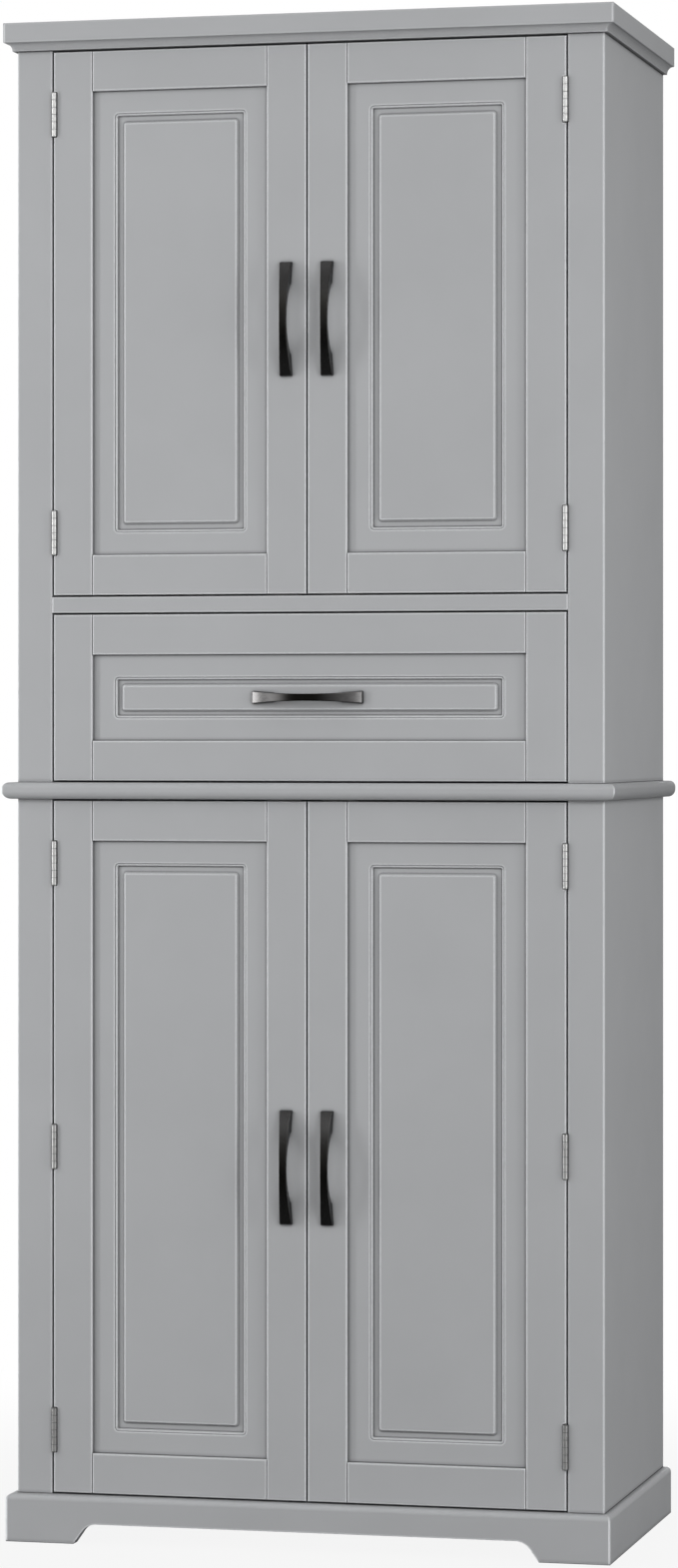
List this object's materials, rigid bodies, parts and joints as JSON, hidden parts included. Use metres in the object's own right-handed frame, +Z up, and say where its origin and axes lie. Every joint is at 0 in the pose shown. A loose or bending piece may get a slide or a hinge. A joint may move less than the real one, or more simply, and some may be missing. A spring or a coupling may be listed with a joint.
{
  "type": "pantry cabinet",
  "caption": "Tall free-standing pantry cabinet with panelled double doors above and below, a drawer between them, a waist board, a crown moulding and a plinth.",
  "frame": {"origin": "on the floor, midway across the width and midway between handle fronts and back", "axes": "+Z up, -Y towards the user through the doors, +X to the right seen from the front"},
  "size_m": [0.753, 0.416, 1.835],
  "materials": {
    "painted_board": "satin grey paint",
    "inside_board": "satin grey paint",
    "back_board": "hardboard, grey paint inside and bare behind",
    "drawer_board": "clear lacquered beech",
    "raw_pine": "planed pine, unfinished",
    "handle_metal": "dark brushed",
    "hinge_metal": "satin nickel",
    "zinc_fittings": "bright zinc",
    "runner_steel": "zinc plated",
    "catch_plastic": "matt"
  },
  "bodies": {
    "case": {"back_panels": "back_board", "bottom_board": "inside_board", "case_screws": "zinc_fittings", "crown_front": "painted_board", "crown_sides": "painted_board", "divider_board": "painted_board", "drawer_packers": "raw_pine", "face_frame_stiles": "painted_board", "frame_hinge_leaves": "hinge_metal", "hinge_pins": "hinge_metal", "lower_side_left": "painted_board", "lower_side_right": "painted_board", "magnetic_catches": "catch_plastic", "plinth_front": "painted_board", "plinth_rear": "inside_board", "plinth_sides": "painted_board", "runner_outer_members": "runner_steel", "shelf_pins": "zinc_fittings", "shelves": "inside_board", "top_board": "inside_board", "top_rail": "painted_board", "upper_side_left": "painted_board", "upper_side_right": "painted_board", "waist_board": "painted_board", "wall_fixing_rail": "raw_pine"},
    "drawer": {"drawer_base": "drawer_board", "drawer_box_ends": "drawer_board", "drawer_front_panel": "painted_board", "drawer_front_rails": "painted_board", "drawer_front_stiles": "painted_board", "drawer_handle": "handle_metal", "drawer_screws": "zinc_fittings", "drawer_sides": "drawer_board", "runner_inner_members": "runner_steel"},
    "runner_middle": {"runner_middle_members": "runner_steel"},
    "upper_left_door": {"upper_left_door_stiles": "painted_board", "upper_left_door_rails": "painted_board", "upper_left_door_panel": "painted_board", "upper_left_door_handle": "handle_metal", "upper_left_door_hinge_leaves": "hinge_metal", "upper_left_door_fittings": "zinc_fittings"},
    "upper_right_door": {"upper_right_door_stiles": "painted_board", "upper_right_door_rails": "painted_board", "upper_right_door_panel": "painted_board", "upper_right_door_handle": "handle_metal", "upper_right_door_hinge_leaves": "hinge_metal", "upper_right_door_fittings": "zinc_fittings"},
    "lower_left_door": {"lower_left_door_stiles": "painted_board", "lower_left_door_rails": "painted_board", "lower_left_door_panel": "painted_board", "lower_left_door_handle": "handle_metal", "lower_left_door_hinge_leaves": "hinge_metal", "lower_left_door_fittings": "zinc_fittings"},
    "lower_right_door": {"lower_right_door_stiles": "painted_board", "lower_right_door_rails": "painted_board", "lower_right_door_panel": "painted_board", "lower_right_door_handle": "handle_metal", "lower_right_door_hinge_leaves": "hinge_metal", "lower_right_door_fittings": "zinc_fittings"}
  },
  "joints": [
    {"name": "upper_left_door_hinge", "type": "hinge", "parent": "case", "child": "upper_left_door", "pos_m": [-0.3147, -0.189, 1.47125], "axis": [0, 0, -1], "range_deg": [0, 175]},
    {"name": "upper_right_door_hinge", "type": "hinge", "parent": "case", "child": "upper_right_door", "pos_m": [0.3147, -0.189, 1.47125], "axis": [0, 0, 1], "range_deg": [0, 175]},
    {"name": "lower_left_door_hinge", "type": "hinge", "parent": "case", "child": "lower_left_door", "pos_m": [-0.3147, -0.189, 0.477], "axis": [0, 0, -1], "range_deg": [0, 175]},
    {"name": "lower_right_door_hinge", "type": "hinge", "parent": "case", "child": "lower_right_door", "pos_m": [0.3147, -0.189, 0.477], "axis": [0, 0, 1], "range_deg": [0, 175]},
    {"name": "drawer_slide", "type": "slide", "parent": "case", "child": "drawer", "axis": [0, -1, 0], "range_m": [0, 0.3]},
    {"name": "runner_slide", "type": "slide", "parent": "case", "child": "runner_middle", "axis": [0, -1, 0], "range_m": [0, 0.15]}
  ],
  "couplings": [
    {"joint": "runner_slide", "follows": "drawer_slide", "ratio": 0.5}
  ]
}
